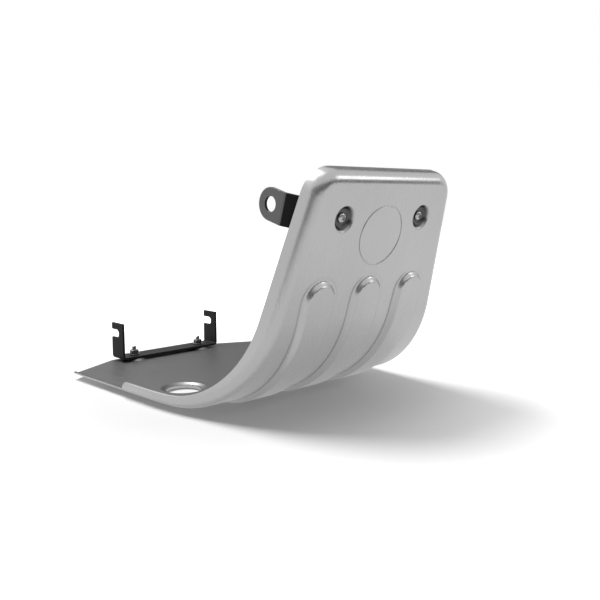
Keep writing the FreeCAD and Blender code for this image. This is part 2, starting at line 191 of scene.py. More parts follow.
def tree_link(tree, a, b):
    tree.links.new(a, b)


def new_node(tree, kind, **values):
    node = tree.nodes.new(kind)
    for key, value in values.items():
        setattr(node, key, value)
    return node


def grain_group():
    """Brushed grain: streaks that run round the bend, with a slow drift in the shade."""
    name = "brushed_grain"
    if name in bpy.data.node_groups:
        return bpy.data.node_groups[name]
    g = bpy.data.node_groups.new(name, "ShaderNodeTree")
    for label, kind, value in (("Fineness", "NodeSocketFloat", 1.0), ("Drift", "NodeSocketFloat", 0.5)):
        g.interface.new_socket(label, in_out="INPUT", socket_type=kind).default_value = value
    for label in ("Streaks", "Cloud"):
        g.interface.new_socket(label, in_out="OUTPUT", socket_type="NodeSocketFloat")
    start = new_node(g, "NodeGroupInput")
    end = new_node(g, "NodeGroupOutput")
    place = new_node(g, "ShaderNodeTexCoord")
    stretch = new_node(g, "ShaderNodeMapping")
    stretch.inputs["Scale"].default_value = (1400.0, 26.0, 26.0)
    fine = new_node(g, "ShaderNodeVectorMath", operation="SCALE")
    streak = new_node(g, "ShaderNodeTexNoise", noise_dimensions="3D")
    streak.inputs["Scale"].default_value = 1.0
    streak.inputs["Detail"].default_value = 4.0
    cloud = new_node(g, "ShaderNodeTexNoise", noise_dimensions="3D")
    cloud.inputs["Scale"].default_value = 14.0
    cloud.inputs["Detail"].default_value = 3.0
    blend = new_node(g, "ShaderNodeMix", data_type="FLOAT")
    blend.inputs["A"].default_value = 0.5
    tree_link(g, place.outputs["Object"], stretch.inputs["Vector"])
    tree_link(g, stretch.outputs["Vector"], fine.inputs[0])
    tree_link(g, start.outputs["Fineness"], fine.inputs["Scale"])
    tree_link(g, fine.outputs["Vector"], streak.inputs["Vector"])
    tree_link(g, place.outputs["Object"], cloud.inputs["Vector"])
    tree_link(g, start.outputs["Drift"], blend.inputs["Factor"])
    tree_link(g, cloud.outputs["Fac"], blend.inputs["B"])
    tree_link(g, streak.outputs["Fac"], end.inputs["Streaks"])
    tree_link(g, blend.outputs["Result"], end.inputs["Cloud"])
    return g


def speckle_group():
    """Fine orange peel of a coating or a cut steel face."""
    name = "fine_speckle"
    if name in bpy.data.node_groups:
        return bpy.data.node_groups[name]
    g = bpy.data.node_groups.new(name, "ShaderNodeTree")
    g.interface.new_socket("Size", in_out="INPUT", socket_type="NodeSocketFloat").default_value = 1500.0
    g.interface.new_socket("Speckle", in_out="OUTPUT", socket_type="NodeSocketFloat")
    start = new_node(g, "NodeGroupInput")
    end = new_node(g, "NodeGroupOutput")
    place = new_node(g, "ShaderNodeTexCoord")
    noise = new_node(g, "ShaderNodeTexNoise", noise_dimensions="3D")
    noise.inputs["Detail"].default_value = 2.0
    tree_link(g, place.outputs["Object"], noise.inputs["Vector"])
    tree_link(g, start.outputs["Size"], noise.inputs["Scale"])
    tree_link(g, noise.outputs["Fac"], end.inputs["Speckle"])
    return g


def spread(tree, source, low, high):
    """Maps a 0 to 1 value to a range."""
    node = new_node(tree, "ShaderNodeMapRange")
    node.inputs["From Min"].default_value = 0.25
    node.inputs["From Max"].default_value = 0.75
    node.inputs["To Min"].default_value = low
    node.inputs["To Max"].default_value = high
    tree_link(tree, source, node.inputs["Value"])
    return node.outputs["Result"]


def shade(tree, source, colour, low, high):
    """The colour, darker or lighter with a 0 to 1 value."""
    node = new_node(tree, "ShaderNodeMix", data_type="RGBA")
    node.inputs["A"].default_value = [c * low for c in colour] + [1]
    node.inputs["B"].default_value = [min(c * high, 1) for c in colour] + [1]
    tree_link(tree, spread(tree, source, 0, 1), node.inputs["Factor"])
    return node.outputs["Result"]


def metal(name, colour, roughness, metallic, group, bump=0.0, vary=0.06, tone=0.05, size=None,
          painted_recess_shade=0.0, gloss=0.5, rim=1.0):
    """Metal whose colour, roughness and grain come from one of the shared groups.

    Painted shade darkens the colour in the recesses round the bolts, where the piece has that attribute, and
    a low rim dulls what is seen along the surface.
    """
    if name in bpy.data.materials:
        return bpy.data.materials[name]
    m = bpy.data.materials.new(name)
    m.use_nodes = True
    t = m.node_tree
    surface = t.nodes["Principled BSDF"]
    surface.inputs["Metallic"].default_value = metallic
    surface.inputs["Specular IOR Level"].default_value = gloss
    surface.inputs["Specular Tint"].default_value = (rim, rim, rim, 1)
    texture = new_node(t, "ShaderNodeGroup")
    texture.node_tree = group
    if size is not None:
        texture.inputs[0].default_value = size
    fine = texture.outputs[0]
    slow = texture.outputs[1] if len(texture.outputs) > 1 else fine
    tree_link(t, spread(t, fine, roughness - vary, roughness + vary), surface.inputs["Roughness"])
    finish = shade(t, slow, colour, 1 - tone, 1 + tone)
    # Painted shade: where the recess attribute is set, the colour is mixed towards near black.
    if painted_recess_shade:
        recess = new_node(t, "ShaderNodeAttribute", attribute_name="recess")
        amount = new_node(t, "ShaderNodeMath", operation="MULTIPLY")
        amount.inputs[1].default_value = painted_recess_shade
        recess_shaded = new_node(t, "ShaderNodeMix", data_type="RGBA")
        recess_shaded.inputs["B"].default_value = (0.02, 0.02, 0.02, 1)
        tree_link(t, recess.outputs["Fac"], amount.inputs[0])
        tree_link(t, amount.outputs[0], recess_shaded.inputs["Factor"])
        tree_link(t, finish, recess_shaded.inputs["A"])
        finish = recess_shaded.outputs["Result"]
    tree_link(t, finish, surface.inputs["Base Color"])
    if bump:
        relief = new_node(t, "ShaderNodeBump")
        relief.inputs["Strength"].default_value = bump
        relief.inputs["Distance"].default_value = 0.00005
        tree_link(t, fine, relief.inputs["Height"])
        tree_link(t, relief.outputs["Normal"], surface.inputs["Normal"])
    return m


def own_mesh(node):
    """Merged copy of a CAD node's mesh, without doubled vertices or degenerate faces."""
    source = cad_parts[node]
    copy = bpy.data.meshes.new(node + "_finished")
    b = bmesh.new()
    b.from_mesh(source.data)
    bmesh.ops.remove_doubles(b, verts=b.verts, dist=0.002 * MM)
    bmesh.ops.dissolve_degenerate(b, edges=b.edges, dist=0.002 * MM)
    b.to_mesh(copy)
    b.free()
    obj = bpy.data.objects.new(node + "_finished", copy)
    bpy.context.scene.collection.objects.link(obj)
    return obj


def round_edges(obj, width, angle, segments=2):
    """Rounds the edges sharper than the angle."""
    bevel = obj.modifiers.new("rounding", "BEVEL")
    bevel.width = width
    bevel.segments = segments
    bevel.limit_method = "ANGLE"
    bevel.angle_limit = math.radians(angle)
    bevel.use_clamp_overlap = True
    bake(obj)


def weigh_normals(obj, angle):
    """Smooth shading that keeps the flat faces flat and the sharp edges sharp."""
    obj.data.shade_smooth()
    obj.data.set_sharp_from_angle(angle=math.radians(angle))
    weigh = obj.modifiers.new("flat faces", "WEIGHTED_NORMAL")
    weigh.keep_sharp = True
    weigh.weight = 100
    bake(obj)


def bake(obj):
    """Puts the modifiers into the mesh and takes them off."""
    deps = bpy.context.evaluated_depsgraph_get()
    mesh = bpy.data.meshes.new_from_object(obj.evaluated_get(deps))
    obj.modifiers.clear()
    old = obj.data
    obj.data = mesh
    mesh.name = old.name
    bpy.data.meshes.remove(old)


def settle(obj, slot, *nodes):
    """The piece stands for its nodes and rides with the part."""
    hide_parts(*nodes)
    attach(obj, "root")


def mesh_object(name, b):
    mesh = bpy.data.meshes.new(name)
    b.to_mesh(mesh)
    b.free()
    obj = bpy.data.objects.new(name, mesh)
    bpy.context.scene.collection.objects.link(obj)
    return obj


def turned(name, profile, segments, closed=False):
    """Solid of revolution about Z from (radius, height) points."""
    b = bmesh.new()
    rings = []
    for radius, height in profile:
        if radius < 1e-9:
            rings.append([b.verts.new((0, 0, height))])
        else:
            rings.append([b.verts.new((radius * math.cos(2 * math.pi * i / segments),
                                       radius * math.sin(2 * math.pi * i / segments), height))
                          for i in range(segments)])
    pairs = list(zip(rings, rings[1:])) + ([(rings[-1], rings[0])] if closed else [])
    for low, high in pairs:
        for i in range(segments):
            j = (i + 1) % segments
            loop = [low[i % len(low)], low[j % len(low)], high[j % len(high)], high[i % len(high)]]
            loop = [v for k, v in enumerate(loop) if v not in loop[:k]]
            b.faces.new(loop)
    bmesh.ops.recalc_face_normals(b, faces=b.faces)
    return mesh_object(name, b)


def prism(name, flats, low, high):
    """Hexagonal prism across its flats."""
    radius = flats / math.sqrt(3)
    b = bmesh.new()
    rings = [[b.verts.new((radius * math.cos(math.pi * (2 * i + 1) / 6),
                           radius * math.sin(math.pi * (2 * i + 1) / 6), z)) for i in range(6)]
             for z in (low, high)]
    for i in range(6):
        b.faces.new([rings[0][i], rings[0][(i + 1) % 6], rings[1][(i + 1) % 6], rings[1][i]])
    b.faces.new(rings[0][::-1])
    b.faces.new(rings[1])
    return mesh_object(name, b)


def carve(obj, tool, operation):
    cut = obj.modifiers.new("cut", "BOOLEAN")
    cut.operation = operation
    cut.object = tool
    cut.solver = "EXACT"
    bake(obj)
    bpy.data.objects.remove(tool)


def thread_tree():
    """Helical thread: a three-cornered ridge swept up a spiral."""
    g = bpy.data.node_groups.new("helical_thread", "GeometryNodeTree")
    g.interface.new_socket("Geometry", in_out="INPUT", socket_type="NodeSocketGeometry")
    for label in ("Radius", "Height", "Pitch", "Ridge"):
        g.interface.new_socket(label, in_out="INPUT", socket_type="NodeSocketFloat")
    g.interface.new_socket("Material", in_out="INPUT", socket_type="NodeSocketMaterial")
    g.interface.new_socket("Geometry", in_out="OUTPUT", socket_type="NodeSocketGeometry")
    start = new_node(g, "NodeGroupInput")
    end = new_node(g, "NodeGroupOutput")
    turns = new_node(g, "ShaderNodeMath", operation="DIVIDE")
    spiral = new_node(g, "GeometryNodeCurveSpiral")
    spiral.inputs["Resolution"].default_value = 20
    upright = new_node(g, "GeometryNodeSetCurveNormal", mode="Z_UP")
    ridge = new_node(g, "GeometryNodeCurvePrimitiveCircle", mode="RADIUS")
    ridge.inputs["Resolution"].default_value = 3
    sweep = new_node(g, "GeometryNodeCurveToMesh")
    sweep.inputs["Fill Caps"].default_value = True
    join = new_node(g, "GeometryNodeJoinGeometry")
    real = new_node(g, "GeometryNodeRealizeInstances")
    paint = new_node(g, "GeometryNodeSetMaterial")
    tree_link(g, start.outputs["Height"], turns.inputs[0])
    tree_link(g, start.outputs["Pitch"], turns.inputs[1])
    tree_link(g, turns.outputs[0], spiral.inputs["Rotations"])
    tree_link(g, start.outputs["Radius"], spiral.inputs["Start Radius"])
    tree_link(g, start.outputs["Radius"], spiral.inputs["End Radius"])
    tree_link(g, start.outputs["Height"], spiral.inputs["Height"])
    tree_link(g, start.outputs["Ridge"], ridge.inputs["Radius"])
    tree_link(g, spiral.outputs["Curve"], upright.inputs["Curve"])
    tree_link(g, upright.outputs["Curve"], sweep.inputs["Curve"])
    tree_link(g, ridge.outputs["Curve"], sweep.inputs["Profile Curve"])
    lower = new_node(g, "GeometryNodeTransform")
    drop = new_node(g, "ShaderNodeCombineXYZ")
    minus = new_node(g, "ShaderNodeMath", operation="MULTIPLY")
    minus.inputs[1].default_value = -1.0
    tree_link(g, start.outputs["Height"], minus.inputs[0])
    tree_link(g, minus.outputs[0], drop.inputs["Z"])
    tree_link(g, sweep.outputs["Mesh"], lower.inputs["Geometry"])
    tree_link(g, drop.outputs["Vector"], lower.inputs["Translation"])
    tree_link(g, start.outputs["Geometry"], join.inputs["Geometry"])
    tree_link(g, lower.outputs["Geometry"], join.inputs["Geometry"])
    tree_link(g, join.outputs["Geometry"], real.inputs["Geometry"])
    tree_link(g, real.outputs["Geometry"], paint.inputs["Geometry"])
    tree_link(g, start.outputs["Material"], paint.inputs["Material"])
    tree_link(g, paint.outputs["Geometry"], end.inputs["Geometry"])
    return g


def seats_tree():
    """One copy of a fastener at each seat, turned as the seat is."""
    name = "copies_on_seats"
    if name in bpy.data.node_groups:
        return bpy.data.node_groups[name]
    g = bpy.data.node_groups.new(name, "GeometryNodeTree")
    g.interface.new_socket("Geometry", in_out="INPUT", socket_type="NodeSocketGeometry")
    g.interface.new_socket("Fastener", in_out="INPUT", socket_type="NodeSocketObject")
    g.interface.new_socket("Material", in_out="INPUT", socket_type="NodeSocketMaterial")
    g.interface.new_socket("Geometry", in_out="OUTPUT", socket_type="NodeSocketGeometry")
    start = new_node(g, "NodeGroupInput")
    end = new_node(g, "NodeGroupOutput")
    piece = new_node(g, "GeometryNodeObjectInfo")
    turn = new_node(g, "GeometryNodeInputNamedAttribute", data_type="FLOAT_VECTOR")
    turn.inputs["Name"].default_value = "turn"
    copies = new_node(g, "GeometryNodeInstanceOnPoints")
    real = new_node(g, "GeometryNodeRealizeInstances")
    paint = new_node(g, "GeometryNodeSetMaterial")
    tree_link(g, start.outputs["Geometry"], copies.inputs["Points"])
    tree_link(g, start.outputs["Fastener"], piece.inputs["Object"])
    tree_link(g, piece.outputs["Geometry"], copies.inputs["Instance"])
    tree_link(g, turn.outputs["Attribute"], copies.inputs["Rotation"])
    tree_link(g, copies.outputs["Instances"], real.inputs["Geometry"])
    tree_link(g, real.outputs["Geometry"], paint.inputs["Geometry"])
    tree_link(g, start.outputs["Material"], paint.inputs["Material"])
    tree_link(g, paint.outputs["Geometry"], end.inputs["Geometry"])
    return g


def run_nodes(obj, tree, **values):
    """Runs a geometry tree on an object with its inputs set by socket identifier."""
    mod = obj.modifiers.new(tree.name, "NODES")
    mod.node_group = tree
    for item in tree.interface.items_tree:
        if item.item_type == "SOCKET" and item.in_out == "INPUT" and item.name in values:
            mod[item.identifier] = values[item.name]
    bake(obj)


def seat_points():
    """A point in the middle of each nut, with the turn that puts +Z out of the shell."""
    b = bmesh.new()
    turns = []
    for pattern in SEATS:
        low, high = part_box(pattern.format("nut"))
        b.verts.new((Vector(low) + Vector(high)) / 2)
        bent = bpy.context.scene.skid_shape.turn if pattern.startswith("front") else 0.0
        turns.append((math.pi - bent, 0.0, 0.0))
    obj = mesh_object("seats", b)
    layer = obj.data.attributes.new("turn", "FLOAT_VECTOR", "POINT")
    for value, item in zip(turns, layer.data):
        item.vector = value
    return obj


def fasten(kind, model, material, slot, shift):
    """Copies the model onto the four seats, shifted along the axis, and puts it for its nodes."""
    model.data.transform(Matrix.Translation((0, 0, shift)))
    holder = seat_points()
    run_nodes(holder, seats_tree(), Fastener=model, Material=material)
    bpy.data.objects.remove(model)
    holder.name = kind + "s"
    holder.data.name = holder.name
    holder.data.shade_smooth()
    holder.data.set_sharp_from_angle(angle=math.radians(35))
    settle(holder, slot, *[p.format(kind) for p in SEATS])


class Sheet:
    """Coordinates that follow the sheet: depth behind its outer face, run along it from the bend."""

    def __init__(self, shape):
        self.shape = shape
        low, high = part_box("skid_plate")
        self.start = high[1] - shape.floor
        self.level = low[2] + shape.rib_height
        self.middle = self.level + shape.bend
        turn = shape.turn
        self.up = Vector((0, -math.cos(turn), math.sin(turn)))
        self.back = Vector((0, math.sin(turn), math.cos(turn)))
        self.foot = Vector((0, self.start, self.middle)) - self.back * shape.bend
        self.arc = shape.bend * turn
        self.round_ones = self.features()

    def read(self, p):
        """Depth, run and outward direction at a point."""
        rel = p - self.foot
        if rel.dot(self.up) > 0:
            return rel.dot(self.back), self.arc + (Vector((0, rel.y, rel.z))).dot(self.up), -self.back
        if p.y >= self.start:
            return p.z - self.level, self.start - p.y, Vector((0, 0, -1))
        dy, dz = self.start - p.y, self.middle - p.z
        away = math.hypot(dy, dz)
        return (self.shape.bend - away, self.shape.bend * math.atan2(dy, dz),
                Vector((0, -dy / away, -dz / away)))

    def features(self):
        """Round features: x, run, inner and outer radius of the slope, how far it sinks, growth."""
        s = self.shape
        found = []
        for side in (-1, 1):
            found.append((side * s.front_bolts[0], self.arc + s.front_bolts[1], *FRONT_SEAT, SEAT_GROWTH))
            found.append((side * s.rear_bolts[0], -s.rear_bolts[1], *REAR_SEAT, SEAT_GROWTH))
        found.append((s.drain[0], -s.drain[1], *DRAIN_DISH, 0.0))
        return found

    def inside(self, x, run):
        """How far inside the foot of the nearest rib a place is."""
        s = self.shape
        half = s.rib_width / 2
        nearest = min(max(run, half - s.rib_rear), self.arc + s.rib_top - half)
        return half - min(math.hypot(x - k * s.rib_pitch, run - nearest) for k in (-1, 0, 1))

    def rise(self, x, run):
        """Height of the ribs above the sheet, with soft shoulders."""
        inside = self.inside(x, run)
        wall = ease((inside + SHOULDER_OUT) / SHOULDER) * self.shape.rib_height
        return wall - ease(1 - abs(inside + DIP) / DIP) * self.shape.draw

    def lift(self, x, run, inner):
        """How far a face of the sheet is pressed outwards here."""
        grown = self.rise(x, run) if run > -self.shape.rib_rear - ROUND_RIB else 0.0
        for fx, at, near, far, sink, grow in self.round_ones:
            away = math.hypot(x - fx, run - at) - (grow if inner else 0)
            if away < far:
                return -sink * (1 - ease((away - near) / (far - near)))
        return grown

    def normal(self, x, run, out, inner):
        """Exact direction of a face of the pressed sheet, from the slope of the pressing."""
        step = 0.15 * MM
        across = (self.lift(x + step, run, inner) - self.lift(x - step, run, inner)) / (2 * step)
        along = (self.lift(x, run + step, inner) - self.lift(x, run - step, inner)) / (2 * step)
        n = (out - Vector((across, 0, 0)) - out.cross(Vector((1, 0, 0))) * along).normalized()
        return -n if inner else n


def ease(t):
    t = min(max(t, 0.0), 1.0)
    return t * t * (3 - 2 * t)


def slices(mesh, point, direction, values, faces=None):
    """Cuts the mesh by parallel planes at the given distances, the middle one first."""
    if not values:
        return
    faces = mesh.faces[:] if faces is None else faces
    middle = len(values) // 2
    level = point.dot(direction) + values[middle]
    below, above, crossed = [], [], []
    for face in faces:
        heights = [v.co.dot(direction) for v in face.verts]
        if max(heights) <= level:
            below.append(face)
        elif min(heights) >= level:
            above.append(face)
        else:
            crossed.append(face)
    if crossed:
        edges = list({e for f in crossed for e in f.edges})
        verts = list({v for f in crossed for v in f.verts})
        cut = bmesh.ops.bisect_plane(mesh, geom=verts + edges + crossed, dist=0.01 * MM,
                                     plane_co=direction * level, plane_no=direction)
        for face in cut["geom"]:
            if isinstance(face, bmesh.types.BMFace):
                lower = face.calc_center_median().dot(direction) < level
                (below if lower else above).append(face)
    slices(mesh, point, direction, values[:middle], below)
    slices(mesh, point, direction, values[middle + 1:], above)


def span(low, high, step):
    count = max(int(round((high - low) / step)), 1)
    return [low + (high - low) * i / count for i in range(count + 1)]


def thinned(values, least):
    """The values in order, without those nearer to the last than the least."""
    kept = []
    for value in sorted(values):
        if not kept or value - kept[-1] > least:
            kept.append(value)
    return kept


def columns(mesh, sheet, low, high, places):
    """Cuts the sheet lengthwise at some places across it, between two runs along it."""
    chosen = [f for f in mesh.faces if low < sheet.read(f.calc_center_median())[1] < high
              and max(v.co.x for v in f.verts) > places[0] and min(v.co.x for v in f.verts) < places[-1]]
    slices(mesh, Vector((0, 0, 0)), Vector((1, 0, 0)), places, chosen)


def refine(mesh, sheet, wide):
    """Gives the pressed places rows and columns of vertices, fine enough for soft edges."""
    s = sheet.shape
    half = s.rib_width / 2
    axis = Vector((0, sheet.start, sheet.middle))
    runs = [sheet.read(v.co)[1] for v in mesh.verts if abs(v.co.x) < wide]
    rows = thinned([0.0, sheet.arc] + [run for run in runs if 0 < run < sheet.arc], 1 * MM)
    for low, high in zip(rows, rows[1:]):
        angle = (low + high) / 2 / s.bend
        bmesh.ops.bisect_plane(mesh, geom=mesh.verts[:] + mesh.edges[:] + mesh.faces[:], plane_co=axis,
                               plane_no=Vector((0, -math.cos(angle), math.sin(angle))))
    slices(mesh, Vector((0, sheet.start, 0)), Vector((0, 1, 0)),
           span(0, s.rib_rear + ROUND_RIB, s.grid)
           + span(s.drain[1] - 19.4 * MM, s.drain[1] + 28 * MM, s.grid)
           + span(s.rear_bolts[1] - ROUND_SEAT, s.floor - 1 * MM, s.grid))
    slices(mesh, sheet.foot, sheet.up,
           span(0, s.rib_top - half, 4 * s.grid) + span(s.rib_top - half, s.rib_top + ROUND_RIB, s.grid)[1:]
           + span(s.front_bolts[1] - ROUND_SEAT, s.front_bolts[1] + ROUND_SEAT, s.grid))
    across = []
    for k in (-1, 0, 1):
        across += span(k * s.rib_pitch - half, k * s.rib_pitch + half, 2 * s.grid)
        for side in (-1, 1):
            edge = k * s.rib_pitch + side * half
            across += [edge - side * v for v in span(-6.5 * MM, 5 * MM, 0.6 * s.grid)]
    columns(mesh, sheet, -s.rib_rear - ROUND_RIB, sheet.arc + s.rib_top + ROUND_RIB,
            thinned(across, 0.5 * MM))
    for x, at, inner, outside, sink, grow in sheet.round_ones:
        reach = outside + grow + 2 * MM
        columns(mesh, sheet, at - reach, at + reach, span(x - reach, x + reach, s.grid))


def press(obj, sheet):
    """Gives the ribs, the bolt recesses and the drain dish the soft edges of pressed sheet."""
    s = sheet.shape
    mesh = bmesh.new()
    mesh.from_mesh(obj.data)
    wide = s.rib_pitch + s.rib_width / 2 + ROUND_RIB
    refine(mesh, sheet, wide)
    mesh.normal_update()
    # Painted shade mask: 1 in the bolt recesses, where the outer colour is darkened.
    painted_shade_mask = mesh.verts.layers.float.new("recess")
    for v in mesh.verts:
        depth, run, out = sheet.read(v.co)
        outer = v.normal.dot(out) > 0
        inside = sheet.inside(v.co.x, run)
        ribbed = inside > -ROUND_RIB
        if ribbed:
            outer = depth < s.sheet / 2 - min(max(inside / ROUND_RIB, 0), 1) * s.rib_height
        elif abs(v.normal.dot(out)) < 0.2 and abs(depth - s.sheet / 2) < s.sheet * 0.49:
            continue    # on the wall of a hole or a cut edge
        base = 0.0 if outer else s.sheet
        pressed = 0 < run < sheet.arc and abs(v.co.x) < wide + 6 * MM and abs(depth - base) < 0.3 * MM
        if ribbed and -s.rib_height - 0.1 * MM < depth - base < 0.3 * MM:
            pressed = True
        for x, at, inner, outside, sink, grow in sheet.round_ones:
            away = math.hypot(v.co.x - x, run - at) - (0 if outer else grow)
            # Painted shade: the outer face in and just round each bolt seat is marked for darkening.
            if outer and sink > 0:
                dark = 1 - ease((away - inner - 2.6 * MM) / (outside - inner - 3.4 * MM))
                v[painted_shade_mask] = max(v[painted_shade_mask], dark)
            if away < outside and inner * 0.6 < away:
                pressed = True
        move = base - sheet.lift(v.co.x, run, not outer) - depth
        if pressed and abs(move) < 1.5 * s.sheet:
            v.co -= out * move
    bmesh.ops.remove_doubles(mesh, verts=mesh.verts, dist=0.01 * MM)
    bmesh.ops.dissolve_degenerate(mesh, edges=mesh.edges, dist=0.01 * MM)
    bmesh.ops.triangulate(mesh, faces=mesh.faces)
    mesh.to_mesh(obj.data)
    mesh.free()


def exact_normals(obj, sheet):
    """Shades both faces of the sheet with the true slope of the pressing."""
    mesh = obj.data
    exact = {}
    for v in mesh.vertices:
        depth, run, out = sheet.read(v.co)
        for inner, base in ((False, 0.0), (True, sheet.shape.sheet)):
            if abs(depth - base + sheet.lift(v.co.x, run, inner)) < 0.03 * MM:
                exact[v.index] = sheet.normal(v.co.x, run, out, inner)
                break
    normals = [Vector(n.vector) for n in mesh.corner_normals]
    for face in mesh.polygons:
        for k in face.loop_indices:
            n = exact.get(mesh.loops[k].vertex_index)
            if n is not None and n.dot(face.normal) > 0.8:
                normals[k] = n
    mesh.normals_split_custom_set(normals)


class SKIDPLATE_OT_shell(bpy.types.Operator):
    """Finish the pressed shell: soft pressed edges, satin outside, duller inside whose darker colour is
    painted shade
    """
    bl_idname = "skidplate.shell"
    bl_label = "Shell"

    def execute(self, context):
        s = context.scene.skid_shell
        sheet = Sheet(context.scene.skid_shape)
        shell = own_mesh("skid_plate")
        round_edges(shell, s.edge, 60)
        press(shell, sheet)
        weigh_normals(shell, 50)
        exact_normals(shell, sheet)
        outside = metal("satin_aluminium", s.outside, s.roughness, 1.0, grain_group(), bump=s.grain,
                        painted_recess_shade=s.painted_recess_shade)
        # Painted shade: the inner face gets a darker colour than the outer one. It also gets a rougher
        # finish and a low rim, which dulls its grazing reflections.
        inside = metal("dull_aluminium", s.inside, s.roughness + 0.15, 1.0, grain_group(), bump=s.grain,
                       rim=0.3)
        shell.data.materials.clear()
        shell.data.materials.append(outside)
        shell.data.materials.append(inside)
        # Faces turned inwards get the darker inner material, which carries the painted shade of the inner
        # face.
        for face in shell.data.polygons:
            depth, run, out = sheet.read(face.center)
            inner = face.normal.dot(out) < -0.25 and depth < 11 * MM
            face.material_index = 1 if inner else 0
        settle(shell, "shell_aluminium", "skid_plate")
        return {"FINISHED"}


class SKIDPLATE_OT_brackets(bpy.types.Operator):
    """Coat both steel brackets black and round their edges"""
    bl_idname = "skidplate.brackets"
    bl_label = "Brackets"

    def execute(self, context):
        s = context.scene.skid_steel
        # Lit and shaded copies of one black coat. The lighter satin copy is painted light, and the darker
        # matt copy on the front bracket is painted shade.
        satin = metal("satin_black", s.satin, 0.36, 0.0, speckle_group(), bump=0.25, vary=0.05,
                      tone=0.15, gloss=0.9)
        matt_and_shade = metal("matt_black", s.coat, 0.62, 0.0, speckle_group(), bump=0.5, vary=0.06, tone=0.3,
                     gloss=0.15)
        for node, coat in (("front_bar", satin), ("front_ear_plate_left", satin),
                           ("front_ear_plate_right", satin), ("rear_bracket", matt_and_shade)):
            piece = own_mesh(node)
            round_edges(piece, s.edge, 40)
            weigh_normals(piece, 40)
            piece.data.materials.clear()
            piece.data.materials.append(coat)
            piece.data.materials.append(matt_and_shade)
            # On the front bracket, the faces turned along Y get the matt copy as painted shade and the
            # others get the satin copy. The rear bracket is matt all over.
            for face in piece.data.polygons:
                shaded_side = abs(face.normal.y) > 0.5
                face.material_index = 1 if shaded_side else 0
            settle(piece, "black_steel", node)
        return {"FINISHED"}


class SKIDPLATE_OT_bolts(bpy.types.Operator):
    """Button head bolts with a hexagon socket and a real thread"""
    bl_idname = "skidplate.bolts"
    bl_label = "Bolts"

    def execute(self, context):
        s = context.scene.skid_fasteners
        steel = context.scene.skid_steel
        rim = 0.22      # height of the head's rim, as a share of the whole
        dome = [(s.head * math.cos(a), s.head_height * (rim + (1 - rim) * math.sin(a)))
                for a in (math.radians(d) for d in range(0, 91, 9))]
        profile = [(0, 0), (s.head - 0.2 * MM, 0), (s.head, 0.2 * MM)] + dome[:-1] + [(0, dome[-1][1])]
        head = turned("head", profile, s.segments)
        socket = prism("socket", s.socket, s.head_height - 1.9 * MM, s.head_height + 1 * MM)
        carve(head, socket, "DIFFERENCE")
        chamfer = 0.6 * MM
        shank = turned("shank", [(0, 0), (s.core, 0), (s.core, chamfer - s.length),
                                 (s.core - chamfer, -s.length), (0, -s.length)], s.segments)
        plated = metal("plated_steel", steel.plated, 0.28, 1.0, speckle_group(), bump=0.1, size=700.0)
        run_nodes(shank, thread_tree(), Radius=s.core, Height=s.length - 1.4 * MM, Pitch=s.pitch,
                  Ridge=s.thread - s.core, Material=plated)
        b = bmesh.new()
        b.from_mesh(head.data)
        b.from_mesh(shank.data)
        bolt = mesh_object("bolt", b)
        bpy.data.objects.remove(head)
        bpy.data.objects.remove(shank)
        nut_low, nut_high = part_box("rear_nut_left")
        tip = Vector(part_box("rear_bolt_left")[1]).z - (Vector(nut_low).z + Vector(nut_high).z) / 2
        fasten("bolt", bolt, plated, "bolt_steel", s.length - tip)
        return {"FINISHED"}


class SKIDPLATE_OT_nuts(bpy.types.Operator):
    """Hexagon nuts with chamfered corners, and the washers under them"""
    bl_idname = "skidplate.nuts"
    bl_label = "Nuts and washers"

    def execute(self, context):
        s = context.scene.skid_fasteners
        steel = context.scene.skid_steel
        dark = metal("dark_steel", steel.dark, 0.35, 1.0, speckle_group(), bump=0.1, size=900.0)
        half = s.nut_height / 2
        nut = prism("nut_body", s.nut, -half, half)
        corner = s.nut / math.sqrt(3)
        barrel = turned("barrel", [(0, -half), (s.nut / 2 - 0.2 * MM, -half), (corner, 0.9 * MM - half),
                                   (corner, half - 0.9 * MM), (s.nut / 2 - 0.2 * MM, half), (0, half)],
                        s.segments)
        carve(nut, barrel, "INTERSECT")
        bore = turned("bore", [(0, -2 * half), (s.thread, -2 * half), (s.thread, 2 * half), (0, 2 * half)],
                      s.segments)
        carve(nut, bore, "DIFFERENCE")
        fasten("nut", nut, dark, "dark_steel", 0.0)
        thick = s.washer_thick
        edge = 0.2 * MM
        hole = s.thread + 0.3 * MM
        ring = turned("washer", [(hole, 0), (s.washer - edge, 0), (s.washer, edge),
                                 (s.washer, thick - edge), (s.washer - edge, thick), (hole, thick)],
                      s.segments, closed=True)
        fasten("washer", ring, dark, "dark_steel", half)
        return {"FINISHED"}


def lamp(name, power, size, place, aim):
    data = bpy.data.lights.new(name, "AREA")
    data.shape = "DISK"
    data.size = size
    data.energy = power
    obj = bpy.data.objects.new(name, data)
    obj.location = place
    obj.rotation_euler = (Vector(aim) - Vector(place)).to_track_quat("-Z", "Y").to_euler()
    bpy.context.scene.collection.objects.link(obj)


def seen_directly(tree, *kinds):
    """1 for rays of these kinds, or for all that show the background: camera, gloss and glass."""
    path = new_node(tree, "ShaderNodeLightPath")
    kinds = kinds or ("Is Camera Ray", "Is Glossy Ray", "Is Transmission Ray")
    total = path.outputs[kinds[0]]
    for label in kinds[1:]:
        both = new_node(tree, "ShaderNodeMath", operation="MAXIMUM")
        tree_link(tree, total, both.inputs[0])
        tree_link(tree, path.outputs[label], both.inputs[1])
        total = both.outputs[0]
    return total


def ranged(tree, source, values, **options):
    """The source mapped from one range to another: from low, from high, to low, to high."""
    node = new_node(tree, "ShaderNodeMapRange", **options)
    for label, value in zip(("From Min", "From Max", "To Min", "To Max"), values):
        node.inputs[label].default_value = value
    tree_link(tree, source, node.inputs["Value"])
    return node.outputs["Result"]


